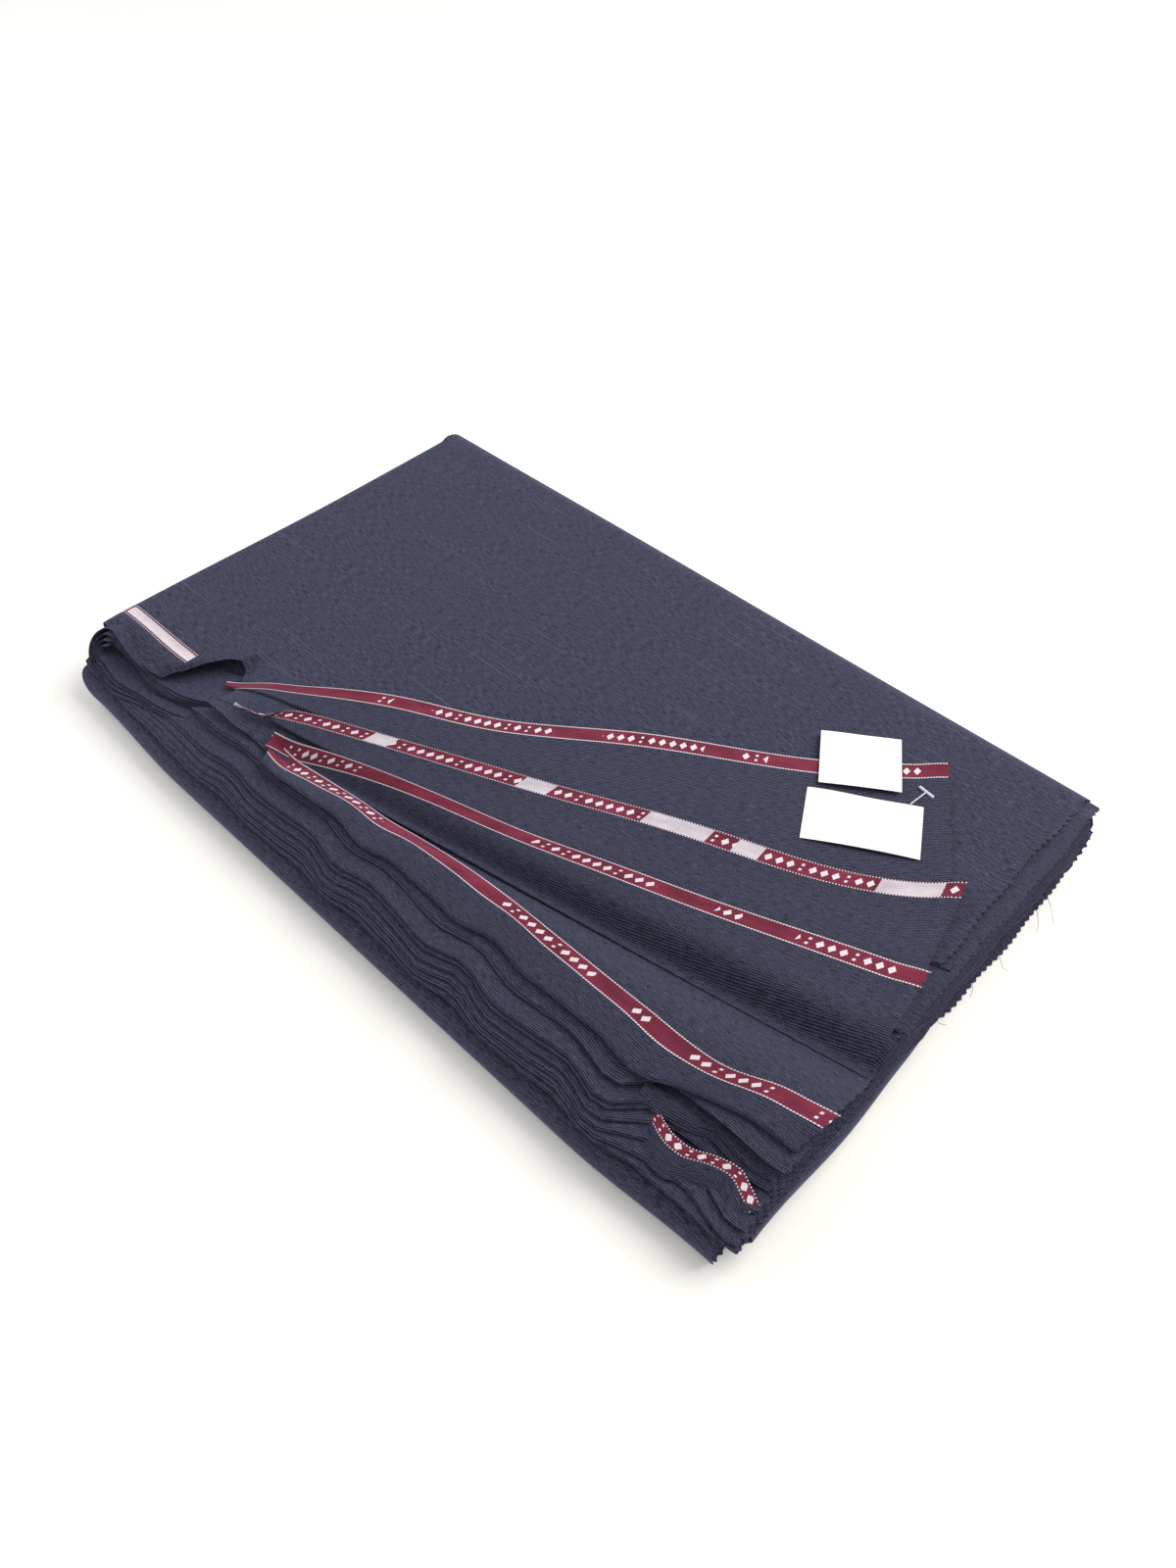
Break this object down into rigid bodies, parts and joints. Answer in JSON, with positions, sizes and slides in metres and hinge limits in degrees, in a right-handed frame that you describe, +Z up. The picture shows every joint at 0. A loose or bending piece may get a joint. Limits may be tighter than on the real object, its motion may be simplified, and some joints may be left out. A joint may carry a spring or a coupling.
{
  "type": "folded suit length of cloth",
  "caption": "Rectangular pack of folded navy worsted cloth with turned-back selvedge corners, pinked cut ends, paper labels and a plastic tag fastener.",
  "frame": {"origin": "centre of the footprint, on the surface that the pack rests on", "axes": "+Z up out of that surface, +X along the pack to the pinked cut end, +Y to the long back fold"},
  "size_m": [0.528, 0.336, 0.0504],
  "materials": {
    "worsted_cloth": "matt twill",
    "label_paper": "matt",
    "fastener_plastic": "satin"
  },
  "bodies": {
    "lower_bundle": {"base_wrap": "worsted_cloth", "lower_leaf_1": "worsted_cloth", "lower_leaf_2": "worsted_cloth", "lower_leaf_3": "worsted_cloth"},
    "upper_bundle": {"upper_leaf_1": "worsted_cloth", "upper_leaf_2": "worsted_cloth", "upper_leaf_3": "worsted_cloth", "upper_leaf_4": "worsted_cloth", "upper_leaf_5": "worsted_cloth", "upper_leaf_6": "worsted_cloth", "upper_leaf_7": "worsted_cloth", "upper_leaf_8": "worsted_cloth", "top_sheet": "worsted_cloth"},
    "corner_1": {"turned_corner_1": "worsted_cloth", "length_label": "label_paper", "tag_fastener": "fastener_plastic"},
    "corner_2": {"turned_corner_2": "worsted_cloth"},
    "corner_3": {"turned_corner_3": "worsted_cloth"},
    "corner_4": {"turned_corner_4": "worsted_cloth"},
    "price_label": {"price_label": "label_paper"}
  },
  "joints": [
    {"name": "upper_bundle_open", "type": "hinge", "parent": "lower_bundle", "child": "upper_bundle", "pos_m": [0, 0.168, 0.02245], "axis": [-1, 0, 0], "range_deg": [0, 160]},
    {"name": "corner_1_turn", "type": "hinge", "parent": "upper_bundle", "child": "corner_1", "pos_m": [0.2568, 0.012, 0.0465], "axis": [0.956, 0.2933, 0], "range_deg": [0, 120]},
    {"name": "corner_2_turn", "type": "hinge", "parent": "upper_bundle", "child": "corner_2", "pos_m": [0.2568, -0.034, 0.0478], "axis": [0.976, 0.2177, 0], "range_deg": [0, 130]},
    {"name": "corner_3_turn", "type": "hinge", "parent": "upper_bundle", "child": "corner_3", "pos_m": [0.2568, -0.062, 0.0491], "axis": [0.9831, 0.1833, 0], "range_deg": [0, 140]},
    {"name": "corner_4_turn", "type": "hinge", "parent": "upper_bundle", "child": "corner_4", "pos_m": [0.2568, -0.136, 0.0504], "axis": [0.9999, 0.0165, 0], "range_deg": [0, 149]},
    {"name": "price_label_lift", "type": "hinge", "parent": "corner_1", "child": "price_label", "pos_m": [0.16255, 0.07352, 0.04705], "axis": [-0.866, -0.5, 0], "range_deg": [0, 110]}
  ],
  "couplings": [
    {"joint": "corner_2_turn", "follows": "corner_1_turn", "ratio": 1.08},
    {"joint": "corner_3_turn", "follows": "corner_1_turn", "ratio": 1.16},
    {"joint": "corner_4_turn", "follows": "corner_1_turn", "ratio": 1.24}
  ]
}
